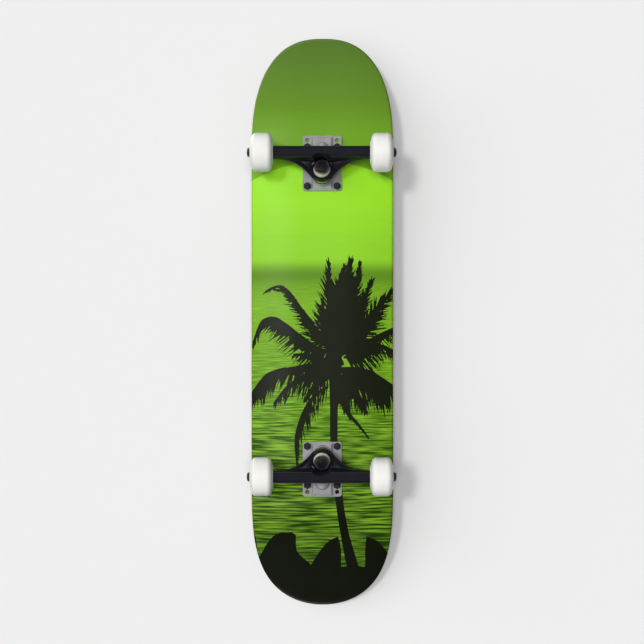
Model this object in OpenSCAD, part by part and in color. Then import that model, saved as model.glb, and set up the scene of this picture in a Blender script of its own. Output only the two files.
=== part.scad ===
// Complete street skateboard standing on its four wheels.
// Millimetres. +X towards the nose, +Y to the rider's left, +Z up. The floor is z = 0.
// The origin is on the floor, midway between the two tips of the deck and on its centre line.

/* [Deck] */
// Straight distance between the nose tip and the tail tip
deck_length = 801.6; // [740:1:840]
// Width across the parallel middle of the deck
deck_width = 198; // [190:0.5:215]
// Thickness of the seven-ply board
deck_thickness = 11; // [9:0.5:13]
// Height of the deck's flat underside over the floor
deck_z = 80; // [74:0.5:90]
// Rise of the side rails over the flat middle
concave_rise = 8; // [3:0.5:12]
// Half-width of the flat strip that carries the trucks
concave_flat = 29; // [28:0.5:40]
// Slope of the nose and the tail in degrees
kick_angle = 20; // [10:1:26]
// Radius of the bend into the nose and the tail
kick_radius = 150; // [90:5:250]
// Distance from the middle to the start of the nose bend
nose_bend_x = 252; // [248:1:280]
// Distance from the middle to the start of the tail bend
tail_bend_x = 263; // [258:1:290]
// Length over which the nose narrows
nose_taper = 214; // [150:1:240]
// Roundness exponents of the nose outline, lengthwise and across
nose_shape = [4.46, 2.04];
// Length over which the tail narrows
tail_taper = 172; // [140:1:240]
// Roundness exponents of the tail outline, lengthwise and across
tail_shape = [2.69, 2.44];
// Thickness of the grip tape
grip_thickness = 0.8; // [0.5:0.1:1.2]

/* [Truck layout] */
// Middle of the front bolt pattern
front_x = 201.3; // [190:0.1:215]
// Middle of the rear bolt pattern
rear_x = -213.2; // [-225:0.1:-200]
// Lengthwise spacing of the truck bolts
bolt_dx = 54; // [53.9:0.1:54.1]
// Crosswise spacing of the truck bolts
bolt_dy = 41.3; // [41.2:0.1:41.4]
// Extra distance out to the spare pair of holes
spare_hole_step = 9.5; // [9:0.1:10]
// Distance of the axle outboard of the bolt pattern
axle_offset = 13; // [8:0.5:18]
// Overall length of the axle
axle_length = 203.2; // [195:0.1:216]
// Radius of the axle
axle_r = 3.97; // [3.9:0.01:4]
// Width of the hanger between its two end faces
hanger_width = 137; // [129:0.5:149]

/* [Baseplate] */
// Reach of the baseplate towards the end of the board
plate_out = 43; // [40:0.5:46]
// Reach of the baseplate towards the middle of the board
plate_in = 33.2; // [33:0.1:38]
// Half-width of the baseplate
plate_half = 27.2; // [26.5:0.1:28.5]
// Thickness of the baseplate's flange
flange_t = 5; // [4:0.5:7]
// Depth of the raised rib below the deck
rib_depth = 9.5; // [8:0.5:12]
// Radius of the bolt holes
bolt_hole_r = 2.75; // [2.6:0.05:3]

/* [Kingpin and bushings] */
// Distance of the kingpin inboard of the bolt pattern at the deck
kingpin_in = 17.5; // [10:0.5:20]
// Lean of the kingpin from vertical
kingpin_tilt = 14; // [5:1:25]
// Radius of the kingpin
kingpin_r = 4.76; // [4.6:0.01:5]
// Distance along the kingpin to the baseplate's seat
seat_s = 14; // [12:0.5:16]
// Distance along the kingpin to the near side of the hanger ring's web
ring_s = 29.5; // [26:0.5:32]
// Thickness of the ring's web
ring_web = 8; // [6:0.5:10]
// Distance along the kingpin to the nut
nut_s = 50; // [46:0.5:54]
// Outer radius of the hanger's ring
ring_r = 14.7; // [14.5:0.1:18]
// Radius of the kingpin hole in the hanger
ring_hole_r = 6.9; // [6.5:0.1:8]
// Middle of the pivot ball, outboard of the bolt pattern
pivot_x = 23.5; // [20:0.5:28]
// Height of the pivot ball's middle
pivot_z = 68.5; // [66:0.5:71]
// Radius of the pivot ball and nose
pivot_r = 6; // [5:0.1:7]

/* [Wheels] */
// Radius of the wheel
wheel_r = 26.5; // [25:0.5:30]
// Width of the wheel at its hub
wheel_width = 32; // [28:1:38]
// Half-width of the flat tread
tread_half = 8; // [6:0.5:14]
// Middle of each wheel from the centre line
wheel_y = 81.5; // [78:0.5:86]
// Outer radius of the 608 bearing
bearing_r = 11; // [10.9:0.1:11.1]
// Width of the 608 bearing
bearing_w = 7; // [6.9:0.1:7.1]
// Gap between the two bearings of a wheel
bearing_gap = 10; // [9:0.1:11]
// Distance across the flats of the axle nut
axle_nut_af = 12.7; // [12.5:0.1:13]

/* [Small hardware] */
// Radius of the truck bolts
bolt_r = 2.38; // [2.3:0.01:2.5]
// Length of the truck bolts, head included
bolt_length = 26; // [25:0.5:32]
// Distance across the flats of the truck nuts
bolt_nut_af = 9.5; // [9.4:0.1:9.6]
// Distance across the flats of the kingpin's head and nut
kingpin_af = 14.3; // [14:0.1:14.5]
// Thickness of the bushings' washers
washer_t = 1.2; // [0.8:0.1:2]
// Thickness of the speed rings
speed_ring_t = 1; // [0.5:0.1:1.2]

/* [Hidden] */
$fn = 64;
half_len = deck_length / 2;
top_z = deck_z + deck_thickness;
axle_z = wheel_r;
ring_mid_s = ring_s + ring_web / 2;
ring_x = -kingpin_in + ring_mid_s * sin(kingpin_tilt);
ring_z = deck_z - ring_mid_s * cos(kingpin_tilt);
pivot_angle = atan2(pivot_z - ring_z, pivot_x - ring_x);
pivot_reach = norm([pivot_x - ring_x, pivot_z - ring_z]);
stations_per_end = 28;
rim = [[3.2, 0], [0.9, 1.2], [0, 3.6], [0, deck_thickness - 3.6], [0.9, deck_thickness - 1.2],
       [3.2, deck_thickness]];
// Air under the grip tape, so that it rests on the board without sharing any volume with it.
grip_gap = 0.02;
spare_x = bolt_dx / 2 + spare_hole_step;
bolt_nut_pocket_r = bolt_nut_af / sqrt(3) + 0.17;
cup_r = pivot_r + 1.98;
pivot_boss_r = pivot_r + 3.9;
// The kingpin's boss on the baseplate is just wider than the cupped washer that sits on it.
boss_r = 12.8;
board_bushing_h = ring_s - seat_s - washer_t;
road_bushing_h = nut_s - washer_t - ring_s - ring_web;
// Radius of the shallow seats that hold the bushings in the hanger's ring.
bushing_seat_r = 12.6;
// How far the seats' rims stand beyond the ring's web.
ring_lip = 1.5;
across = [-1, -0.86, -0.7, -0.5, -0.293, 0, 0.293, 0.5, 0.7, 0.86, 1];

// ---------- shared shapes ----------

// Locknut: a hexagon with rounded-off corners, a narrower round crown and one bore through both.
// Its flats face +X and -X.
module lock_nut(across_flats, hex_h, crown_r, crown_h, bore_r) {
  corner_r = across_flats / sqrt(3);
  flat_r = across_flats / 2 - 0.1;
  difference() {
    union() {
      intersection() {
        rotate([0, 0, 30])
          cylinder(h = hex_h, r = corner_r, $fn = 6);
        translate([0, 0, hex_h - 20])
          cylinder(h = 20, r1 = corner_r + 40, r2 = flat_r);
        cylinder(h = 20, r1 = flat_r, r2 = corner_r + 40);
      }
      translate([0, 0, hex_h / 2])
        cylinder(h = hex_h / 2 + crown_h, r = crown_r);
    }
    translate([0, 0, -1])
      cylinder(h = hex_h + crown_h + 2, r = bore_r);
  }
}

// Round tube standing on z = 0.
module tube(outer_r, inner_r, height) {
  difference() {
    cylinder(h = height, r = outer_r);
    translate([0, 0, -1])
      cylinder(h = height + 2, r = inner_r);
  }
}

// Places its children at the four truck bolts of a bolt pattern centred on x = 0.
module at_bolts() {
  for (sx = [-1, 1]) {
    for (sy = [-1, 1]) {
      translate([sx * bolt_dx / 2, sy * bolt_dy / 2, 0])
        children();
    }
  }
}

// A truck's own frame: +X outboard, the origin under its bolt pattern.
module front_truck() {
  translate([front_x, 0, 0])
    children();
}

module rear_truck() {
  translate([rear_x, 0, 0])
    rotate([0, 0, 180])
      children();
}

// Frame of the kingpin: +Z runs down the kingpin from the deck's underside.
module along_kingpin(s = 0) {
  translate([-kingpin_in, 0, deck_z])
    rotate([0, 180 - kingpin_tilt, 0])
      translate([0, 0, s])
        children();
}

// Frame of the steering axis: the origin is the pivot ball, +Z runs outboard and up.
module along_pivot(t = 0) {
  translate([pivot_x, 0, pivot_z])
    rotate([0, 90 - pivot_angle, 0])
      translate([0, 0, t])
        children();
}

// Frame of one wheel: the axis is +Z, pointing away from the board's centre line.
module at_wheel(side) {
  translate([axle_offset, side * wheel_y, axle_z])
    rotate([-side * 90, 0, 0])
      children();
}

// ---------- deck ----------

// Height gained in the nose or tail, at distance d past the start of the bend.
function kick(d) =
  d <= 0 ? 0 :
  d < kick_radius * sin(kick_angle) ? kick_radius - sqrt(kick_radius * kick_radius - d * d) :
  kick_radius * (1 - cos(kick_angle)) + (d - kick_radius * sin(kick_angle)) * tan(kick_angle);

// Height of the rail over the flat strip at distance y from the centre line.
function concave(y) =
  abs(y) <= concave_flat + 0.02 ? 0 :
  concave_rise * pow((abs(y) - concave_flat) / (deck_width / 2 - concave_flat), 2);

function underside(x, y) =
  deck_z + concave(y) + (x > 0 ? kick(x - nose_bend_x) : kick(-x - tail_bend_x));

// Half-width of the outline at distance d from a tip.
function half_width(d, taper, shape) =
  d >= taper ? deck_width / 2 :
  deck_width / 2 * pow(1 - pow(1 - d / taper, shape[0]), 1 / shape[1]);

function tip_distance(i, taper) = 0.005 + (taper - 0.005) * pow(i / stations_per_end, 2);

// Outline stations [x, half-width] from the tail tip to the nose tip.
stations = concat(
  [for (i = [0 : stations_per_end])
    let (d = tip_distance(i, tail_taper))
      [-half_len + d, half_width(d, tail_taper, tail_shape)]],
  [for (f = [0.25, 0.5, 0.75])
    [-half_len + tail_taper + f * (deck_length - tail_taper - nose_taper), deck_width / 2]],
  [for (i = [stations_per_end : -1 : 0])
    let (d = tip_distance(i, nose_taper))
      [half_len - d, half_width(d, nose_taper, nose_shape)]]
);

// The station's point on a layer that is drawn in from the outline by inset and lifted by rise.
function layer_point(st, f, inset, rise) =
  let (x = st[0] * (half_len - inset) / half_len,
       y = f * st[1] * (deck_width / 2 - inset) / (deck_width / 2))
    [x, y, underside(x, y) + rise];

// Closed ring of points of a board-shaped sheet at one station: underside, left rim, top, right rim.
function sheet_ring(st, edge) =
  concat(
    [for (f = across) layer_point(st, f, edge[0][0], edge[0][1])],
    [for (k = [1 : len(edge) - 2]) layer_point(st, 1, edge[k][0], edge[k][1])],
    [for (j = [len(across) - 1 : -1 : 0])
      layer_point(st, across[j], edge[len(edge) - 1][0], edge[len(edge) - 1][1])],
    [for (k = [len(edge) - 2 : -1 : 1]) layer_point(st, -1, edge[k][0], edge[k][1])]
  );

// Board-shaped sheet whose edge profile is a list of [inset, height over the deck's underside].
module board_sheet(edge) {
  ring_len = 2 * len(across) + 2 * (len(edge) - 2);
  n = len(stations);
  last = len(across) - 1;
  points = [for (st = stations) each sheet_ring(st, edge)];
  // The underside's quads are split along the other diagonal, so that it fits a top surface exactly.
  sides = [for (i = [0 : n - 2]) for (j = [0 : ring_len - 1])
    let (k = (j + 1) % ring_len, a = i * ring_len, b = (i + 1) * ring_len)
      each (j < last
        ? [[a + j, b + j, a + k], [b + j, b + k, a + k]]
        : [[a + j, b + j, b + k], [a + j, b + k, a + k]])];
  caps = [for (base = [0, (n - 1) * ring_len]) for (m = [0 : last - 1])
    let (lo = m, lo2 = m + 1,
         hi = last + (len(edge) - 2) + 1 + (last - m),
         hi2 = last + (len(edge) - 2) + 1 + (last - m - 1))
      each (base == 0
        ? [[base + lo, base + lo2, base + hi2], [base + lo, base + hi2, base + hi]]
        : [[base + lo, base + hi2, base + lo2], [base + lo, base + hi, base + hi2]])];
  rims = [for (base = [0, (n - 1) * ring_len]) for (k = [0 : len(edge) - 3])
    let (left_top = last + len(edge) - 1,
         right_top = left_top + last,
         l1 = last + k,
         l2 = last + k + 1,
         r1 = (ring_len - k) % ring_len,
         r2 = ring_len - k - 1)
      each (base == 0
        ? [[base + l1, base + l2, base + left_top], [base + r2, base + r1, base + right_top]]
        : [[base + l1, base + left_top, base + l2], [base + r2, base + right_top, base + r1]])];
  polyhedron(points = points, faces = concat(sides, caps, rims), convexity = 6);
}

module deck() {
  color("BurlyWood")
    difference() {
      board_sheet(rim);
      for (x = [front_x, rear_x]) {
        translate([x, 0, 0])
          at_bolts() {
            translate([0, 0, deck_z - 2])
              cylinder(h = deck_thickness + 4, r = bolt_hole_r);
            translate([0, 0, top_z - 2])
              cylinder(h = 2.5, r1 = bolt_hole_r, r2 = 5.2);
          }
      }
    }
}

module grip_tape() {
  color("DimGray")
    difference() {
      board_sheet([[3.2, deck_thickness + grip_gap], [3.4, deck_thickness + grip_thickness / 2],
                   [3.8, deck_thickness + grip_thickness]]);
      for (x = [front_x, rear_x]) {
        translate([x, 0, top_z - 2])
          at_bolts()
            cylinder(h = 5, r = 5);
      }
    }
}

// ---------- truck bolts and nuts ----------

// Flat-headed bolt hanging from the grip tape's surface, with a cross recess in its head.
module truck_bolt() {
  head_top = top_z + grip_thickness;
  difference() {
    union() {
      translate([0, 0, head_top - 2.8])
        cylinder(h = 2.8, r1 = bolt_r, r2 = 2 * bolt_r);
      translate([0, 0, head_top - bolt_length + 0.6])
        cylinder(h = bolt_length - 3, r = bolt_r);
      translate([0, 0, head_top - bolt_length])
        cylinder(h = 0.6, r1 = bolt_r - 0.6, r2 = bolt_r);
    }
    for (a = [0, 90]) {
      translate([0, 0, head_top - 0.8])
        rotate([0, 0, a])
          cube([4.8, 1.1, 1.7], center = true);
    }
  }
}

module truck_bolts() {
  color("Black")
    at_bolts()
      truck_bolt();
}

module truck_nuts() {
  color("Black")
    at_bolts()
      translate([0, 0, deck_z - flange_t])
        rotate([180, 0, 30])
          lock_nut(bolt_nut_af, 4, 4.3, 1.6, bolt_r + 0.04);
}

// ---------- baseplate ----------

module rounded_plate(x0, x1, half_y, r, z0, z1) {
  translate([x0 + r, -half_y, z0])
    cube([x1 - x0 - 2 * r, 2 * half_y, z1 - z0]);
  translate([x0, -half_y + r, z0])
    cube([x1 - x0, 2 * (half_y - r), z1 - z0]);
  for (x = [x0 + r, x1 - r]) {
    for (y = [-half_y + r, half_y - r]) {
      translate([x, y, z0])
        cylinder(h = z1 - z0, r = r);
    }
  }
}

// Raised rib along the middle of the baseplate, with sloping sides.
module plate_rib() {
  hull() {
    translate([-plate_in + 0.8, -15, deck_z - flange_t - 0.2])
      cube([plate_in + plate_out - 1.6, 30, 1]);
    translate([-plate_in + 5.5, -12.4, deck_z - rib_depth])
      cube([plate_in + plate_out - 9.5, 24.8, 1]);
  }
}

module baseplate() {
  color("Silver")
    difference() {
      union() {
        rounded_plate(-plate_in, plate_out, plate_half, 3.5, deck_z - flange_t, deck_z);
        plate_rib();
        intersection() {
          union() {
            along_kingpin(-8)
              cylinder(h = seat_s + 7, r = boss_r);
            along_kingpin(seat_s - 1)
              cylinder(h = 1, r1 = boss_r, r2 = boss_r - 0.6);
            along_pivot(-4.5)
              cylinder(h = 6, r1 = pivot_boss_r - 0.3, r2 = pivot_boss_r);
            along_pivot()
              sphere(r = pivot_boss_r);
            translate([pivot_x - 8, -7, deck_z - 12])
              cube([12, 14, 11]);
          }
          translate([-60, -60, 20])
            cube([120, 120, deck_z - 20]);
        }
      }
      at_bolts()
        translate([0, 0, deck_z - 20])
          cylinder(h = 30, r = bolt_hole_r);
      for (sy = [-1, 1]) {
        translate([spare_x, sy * bolt_dy / 2, deck_z - 20])
          cylinder(h = 30, r = bolt_hole_r);
      }
      at_bolts()
        translate([0, 0, deck_z - flange_t - 20])
          cylinder(h = 20, r = bolt_nut_pocket_r);
      along_kingpin(-2)
        cylinder(h = 30, r = kingpin_r + 0.04);
      along_kingpin(-8)
        cylinder(h = 16.3, r = 8.4);
      along_pivot()
        sphere(r = cup_r + 0.02);
      along_pivot(-14)
        cylinder(h = 14, r = cup_r + 0.02);
    }
}

// Plastic cup in the baseplate that carries the hanger's pivot ball.
module pivot_cup() {
  color("DarkSlateGray")
    difference() {
      union() {
        along_pivot()
          sphere(r = cup_r);
        along_pivot(-5.5)
          cylinder(h = 5.5, r = cup_r);
      }
      along_pivot()
        sphere(r = pivot_r + 0.05);
      along_pivot(-14)
        cylinder(h = 14, r = pivot_r + 0.05);
    }
}

// ---------- kingpin, bushings and washers ----------

module kingpin() {
  color("DimGray")
    union() {
      along_kingpin(2.8)
        rotate([0, 0, 30])
          cylinder(h = 5.5, r = kingpin_af / sqrt(3), $fn = 6);
      along_kingpin(8)
        cylinder(h = nut_s + 0.7, r = kingpin_r);
      along_kingpin(nut_s + 8.7)
        cylinder(h = 0.9, r1 = kingpin_r, r2 = kingpin_r - 0.9);
    }
}

module kingpin_nut() {
  color("Black")
    along_kingpin(nut_s)
      lock_nut(kingpin_af, 5.2, 6.7, 1.8, kingpin_r + 0.02);
}

// Barrel bushing between the baseplate and the hanger's ring.
module board_side_bushing() {
  h = board_bushing_h;
  color("LemonChiffon")
    along_kingpin(seat_s + washer_t)
      rotate_extrude()
        polygon([[5, 0], [10.6, 0], [11.1, 0.6], [11.8, 2.4], [12.6, 4.6], [12.8, 6.6], [12.4, 9.2],
                 [11.7, 12.4], [11.4, h - 0.6], [10.9, h], [5, h]]);
}

// Conical bushing between the hanger's ring and the kingpin nut.
module road_side_bushing() {
  h = road_bushing_h;
  color("LemonChiffon")
    along_kingpin(ring_s + ring_web)
      rotate_extrude()
        polygon([[5, 0], [11, 0], [11.5, 0.6], [11.6, 2.4], [11.2, 5], [9.6, h - 2], [9.3, h - 0.5],
                 [8.9, h], [5, h]]);
}

// Cupped washer: a disc with a low rim around the bushing's end.
module cupped_washer(rim_inner_r) {
  difference() {
    union() {
      cylinder(h = washer_t, r = rim_inner_r + 0.2);
      translate([0, 0, 0.3])
        tube(rim_inner_r + 0.9, rim_inner_r, washer_t + 1);
    }
    translate([0, 0, -1])
      cylinder(h = 4, r = kingpin_r + 0.1);
  }
}

module board_side_washer() {
  color("Silver")
    along_kingpin(seat_s)
      cupped_washer(11.5);
}

module road_side_washer() {
  color("Silver")
    along_kingpin(nut_s)
      mirror([0, 0, 1])
        cupped_washer(9.7);
}

// ---------- hanger and axle ----------

// How far the hanger's wings spread, from 0 at its ends to 1 beside the ring.
function wing(y, power) = pow(max(0, 1 - max(12, abs(y)) / 68) / (1 - 12 / 68), power);
function crown(y) = pow(max(0, 1 - abs(y) / 60), 2);

// Cross-section of the hanger's casting at one station, as [x, z] points: a bar, and a wing that
// reaches inboard to a raised lip.
function hanger_section(y) =
  let (spread = wing(y, 2.85),
       xi = 4.5 - 26 * spread,
       zi = axle_z + 0.5 + 18 * wing(y, 1.2),
       zt = axle_z + 8.5 + 16.5 * crown(y),
       zo = axle_z + 6 + 12 * crown(y),
       belly = 5 * crown(y),
       tip = 1.2 * min(1, 3 * spread),
       lip = min(1, 2.5 * spread))
    [[18.6, axle_z - 8.5], [20.6, axle_z - 7.6], [21.5, axle_z - 5.4], [21.5, zo], [20.7, zo + 1.7],
     [18.6, zt], [9 - 2 * crown(y), zt], [5.6 - 2 * crown(y) - 4 * spread, zt - 1.8],
     [xi + tip, zi + 3.8], [xi, zi + 2.4], [xi, zi - 1.6 - 2 * lip], [xi + tip, zi - 3 - 2 * lip],
     [xi + tip + 0.2 + 2.2 * lip, zi - 3.1 - 2 * lip], [xi + tip + 0.4 + 3.4 * lip, zi - 3.2 + 0.8 * lip],
     [5.2 - 6 * spread, zi - 6 - 2 * spread - belly / 3], [6.4, axle_z - 7.4], [8.2, axle_z - 8.5]];

module hanger_casting() {
  count = 36;
  ys = [for (i = [0 : count]) (i / count - 0.5) * hanger_width];
  size = len(hanger_section(0));
  points = [for (y = ys) for (p = hanger_section(y)) [p[0], y, p[1]]];
  sides = [for (i = [0 : count - 1]) for (j = [0 : size - 1])
    let (k = (j + 1) % size, a = i * size, b = (i + 1) * size)
      each [[a + j, b + k, b + j], [a + j, a + k, b + k]]];
  first = [[for (j = [0 : size - 1]) size - 1 - j]];
  last = [[for (j = [0 : size - 1]) count * size + j]];
  polyhedron(points = points, faces = concat(sides, first, last), convexity = 6);
}

// Room round the kingpin nut: a bowl in the bar and the wings, and a clear space beyond the ring.
module kingpin_bowl() {
  translate([-8, 0, 0])
    rotate_extrude()
      polygon([[0, 5], [19.5, 5], [19.5, 18], [18.8, 20.5], [17.2, 23], [15.4, 26], [14.6, 30], [14.2, 40],
               [0, 40]]);
  along_kingpin(ring_s + ring_web + ring_lip)
    cylinder(h = nut_s + 0.8 - ring_s - ring_web - ring_lip, r = 15.6);
}

module hanger() {
  color([0.15, 0.15, 0.17])
    difference() {
      union() {
        difference() {
          union() {
            hanger_casting();
            along_pivot(6 - pivot_reach * 0.68)
              cylinder(h = pivot_reach * 0.68 - 13, r1 = 12, r2 = pivot_r + 0.6);
          }
          along_kingpin(-10)
            cylinder(h = ring_s + 10 - ring_lip, r = ring_r - 0.7);
          kingpin_bowl();
        }
        along_kingpin(ring_s - ring_lip)
          cylinder(h = ring_web + 2 * ring_lip, r = ring_r);
        along_pivot(-12)
          cylinder(h = 12, r = pivot_r);
        along_pivot()
          sphere(r = pivot_r);
      }
      along_kingpin(ring_s - 5)
        cylinder(h = ring_web + 10, r = ring_hole_r);
      along_kingpin(ring_s - 10)
        cylinder(h = 10, r = bushing_seat_r);
      along_kingpin(ring_s + ring_web)
        cylinder(h = 10, r = bushing_seat_r);
      translate([axle_offset, -hanger_width / 2 - 1, axle_z])
        rotate([-90, 0, 0])
          cylinder(h = hanger_width + 2, r = axle_r + 0.02);
    }
}

module axle() {
  color("LightGray")
    translate([axle_offset, -axle_length / 2, axle_z])
      rotate([-90, 0, 0])
        union() {
          cylinder(h = 0.7, r1 = axle_r - 0.7, r2 = axle_r);
          translate([0, 0, 0.7])
            cylinder(h = axle_length - 1.4, r = axle_r);
          translate([0, 0, axle_length - 0.7])
            cylinder(h = 0.7, r1 = axle_r, r2 = axle_r - 0.7);
        }
}

// ---------- wheels and bearings ----------

module wheel(side) {
  w = wheel_width / 2;
  seat = bearing_gap / 2;
  upper = [[wheel_r, tread_half], [wheel_r - 0.2, tread_half + 1.3], [wheel_r - 0.8, tread_half + 2.7],
           [wheel_r - 1.8, tread_half + 4], [wheel_r - 3, tread_half + 4.9],
           [wheel_r - 4.6, tread_half + 5.5],
           [18.5, w - 1.5], [16, w - 0.8], [13.6, w], [12.6, w], [12, w - 0.6],
           [bearing_r + 0.5, w - 3.2], [bearing_r + 0.01, w - 3.7], [bearing_r + 0.01, seat], [8.6, seat]];
  lower = [for (i = [len(upper) - 1 : -1 : 0]) [upper[i][0], -upper[i][1]]];
  color("White")
    at_wheel(side)
      rotate_extrude($fn = 96)
        polygon(concat(upper, lower));
}

// The wheel's two bearing seats; the second one is turned to face the other way.
module at_bearings(side) {
  at_wheel(side) {
    translate([0, 0, (bearing_gap + bearing_w) / 2])
      children();
    translate([0, 0, -(bearing_gap + bearing_w) / 2])
      rotate([180, 0, 0])
        children();
  }
}

module outer_rings(side) {
  color("Silver")
    at_bearings(side)
      rotate_extrude()
        difference() {
          translate([9, -bearing_w / 2])
            square([bearing_r - 9, bearing_w]);
          translate([7.5, 0])
            circle(r = 2.03);
        }
}

module inner_rings(side) {
  color("Silver")
    at_bearings(side)
      rotate_extrude()
        difference() {
          translate([4, -bearing_w / 2])
            square([2, bearing_w]);
          translate([7.5, 0])
            circle(r = 2.03);
        }
}

// Seven balls and the crown cage that spaces them, for each bearing.
module ball_sets(side) {
  color("Gainsboro")
    at_bearings(side) {
      for (i = [0 : 6]) {
        rotate([0, 0, i * 360 / 7])
          translate([7.5, 0, 0])
            sphere(r = 1.98, $fn = 24);
      }
      difference() {
        translate([0, 0, -2.6])
          tube(8.3, 6.7, 1.7);
        for (i = [0 : 6]) {
          rotate([0, 0, i * 360 / 7])
            translate([7.5, 0, 0])
              sphere(r = 2.08, $fn = 24);
        }
      }
    }
}

// Thin shields that close both sides of each bearing.
module shields(side) {
  color("Black")
    at_bearings(side) {
      translate([0, 0, bearing_w / 2 - 0.6])
        tube(8.99, 6.25, 0.4);
      translate([0, 0, -bearing_w / 2 + 0.2])
        tube(8.99, 6.25, 0.4);
    }
}

module spacer(side) {
  color("Silver")
    at_wheel(side)
      translate([0, 0, -bearing_gap / 2])
        tube(5, axle_r + 0.05, bearing_gap);
}

// One thin ring on each side of the wheel's pair of bearings.
module speed_rings(side) {
  color("Silver")
    at_wheel(side) {
      translate([0, 0, bearing_gap / 2 + bearing_w])
        tube(5.8, axle_r + 0.1, speed_ring_t);
      translate([0, 0, -bearing_gap / 2 - bearing_w - speed_ring_t])
        tube(5.8, axle_r + 0.1, speed_ring_t);
    }
}

module axle_nut(side) {
  color("Black")
    at_wheel(side)
      translate([0, 0, bearing_gap / 2 + bearing_w + speed_ring_t])
        lock_nut(axle_nut_af, 4.9, 5.6, 1.6, axle_r + 0.02);
}

// ---------- the assembly ----------

deck();
grip_tape();
front_truck() truck_bolts();  // front_truck_bolts
rear_truck() truck_bolts();  // rear_truck_bolts
front_truck() truck_nuts();  // front_truck_nuts
rear_truck() truck_nuts();  // rear_truck_nuts

front_truck() baseplate();  // front_baseplate
front_truck() pivot_cup();  // front_pivot_cup
front_truck() kingpin();  // front_kingpin
front_truck() kingpin_nut();  // front_kingpin_nut
front_truck() board_side_bushing();  // front_board_side_bushing
front_truck() road_side_bushing();  // front_road_side_bushing
front_truck() board_side_washer();  // front_board_side_washer
front_truck() road_side_washer();  // front_road_side_washer
front_truck() hanger();  // front_hanger
front_truck() axle();  // front_axle

rear_truck() baseplate();  // rear_baseplate
rear_truck() pivot_cup();  // rear_pivot_cup
rear_truck() kingpin();  // rear_kingpin
rear_truck() kingpin_nut();  // rear_kingpin_nut
rear_truck() board_side_bushing();  // rear_board_side_bushing
rear_truck() road_side_bushing();  // rear_road_side_bushing
rear_truck() board_side_washer();  // rear_board_side_washer
rear_truck() road_side_washer();  // rear_road_side_washer
rear_truck() hanger();  // rear_hanger
rear_truck() axle();  // rear_axle

front_truck() wheel(1);  // front_left_wheel
front_truck() outer_rings(1);  // front_left_outer_rings
front_truck() inner_rings(1);  // front_left_inner_rings
front_truck() ball_sets(1);  // front_left_ball_sets
front_truck() shields(1);  // front_left_shields
front_truck() spacer(1);  // front_left_spacer
front_truck() speed_rings(1);  // front_left_speed_rings
front_truck() axle_nut(1);  // front_left_axle_nut

front_truck() wheel(-1);  // front_right_wheel
front_truck() outer_rings(-1);  // front_right_outer_rings
front_truck() inner_rings(-1);  // front_right_inner_rings
front_truck() ball_sets(-1);  // front_right_ball_sets
front_truck() shields(-1);  // front_right_shields
front_truck() spacer(-1);  // front_right_spacer
front_truck() speed_rings(-1);  // front_right_speed_rings
front_truck() axle_nut(-1);  // front_right_axle_nut

rear_truck() wheel(-1);  // rear_left_wheel
rear_truck() outer_rings(-1);  // rear_left_outer_rings
rear_truck() inner_rings(-1);  // rear_left_inner_rings
rear_truck() ball_sets(-1);  // rear_left_ball_sets
rear_truck() shields(-1);  // rear_left_shields
rear_truck() spacer(-1);  // rear_left_spacer
rear_truck() speed_rings(-1);  // rear_left_speed_rings
rear_truck() axle_nut(-1);  // rear_left_axle_nut

rear_truck() wheel(1);  // rear_right_wheel
rear_truck() outer_rings(1);  // rear_right_outer_rings
rear_truck() inner_rings(1);  // rear_right_inner_rings
rear_truck() ball_sets(1);  // rear_right_ball_sets
rear_truck() shields(1);  // rear_right_shields
rear_truck() spacer(1);  // rear_right_spacer
rear_truck() speed_rings(1);  // rear_right_speed_rings
rear_truck() axle_nut(1);  // rear_right_axle_nut
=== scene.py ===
"""Complete street skateboard: looks, stage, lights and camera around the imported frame."""

import math
import random

import bpy
import numpy as np
from mathutils import Matrix, Vector
from mathutils.geometry import delaunay_2d_cdt


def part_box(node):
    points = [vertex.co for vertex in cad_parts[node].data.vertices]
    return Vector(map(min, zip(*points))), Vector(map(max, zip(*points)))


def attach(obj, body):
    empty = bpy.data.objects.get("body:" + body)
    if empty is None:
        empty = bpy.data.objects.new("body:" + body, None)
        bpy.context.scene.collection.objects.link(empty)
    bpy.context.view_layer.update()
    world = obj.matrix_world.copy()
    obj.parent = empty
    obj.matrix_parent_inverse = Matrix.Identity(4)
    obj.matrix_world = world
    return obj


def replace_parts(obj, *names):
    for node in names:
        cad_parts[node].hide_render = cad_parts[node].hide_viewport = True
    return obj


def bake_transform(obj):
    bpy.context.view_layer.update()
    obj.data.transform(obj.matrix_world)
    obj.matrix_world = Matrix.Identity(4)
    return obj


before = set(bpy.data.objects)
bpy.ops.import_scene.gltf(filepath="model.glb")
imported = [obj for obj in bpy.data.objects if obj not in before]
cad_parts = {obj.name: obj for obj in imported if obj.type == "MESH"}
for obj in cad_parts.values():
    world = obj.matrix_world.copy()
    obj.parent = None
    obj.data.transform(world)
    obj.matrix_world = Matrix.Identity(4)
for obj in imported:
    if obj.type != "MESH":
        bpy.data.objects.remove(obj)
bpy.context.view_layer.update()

MM = 0.001
ENDS = ("front", "rear")
CORNERS = [(end, side) for end in ENDS for side in ("left", "right")]

# ---------- driving sizes, from the frame where it holds them, in millimetres ----------

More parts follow.
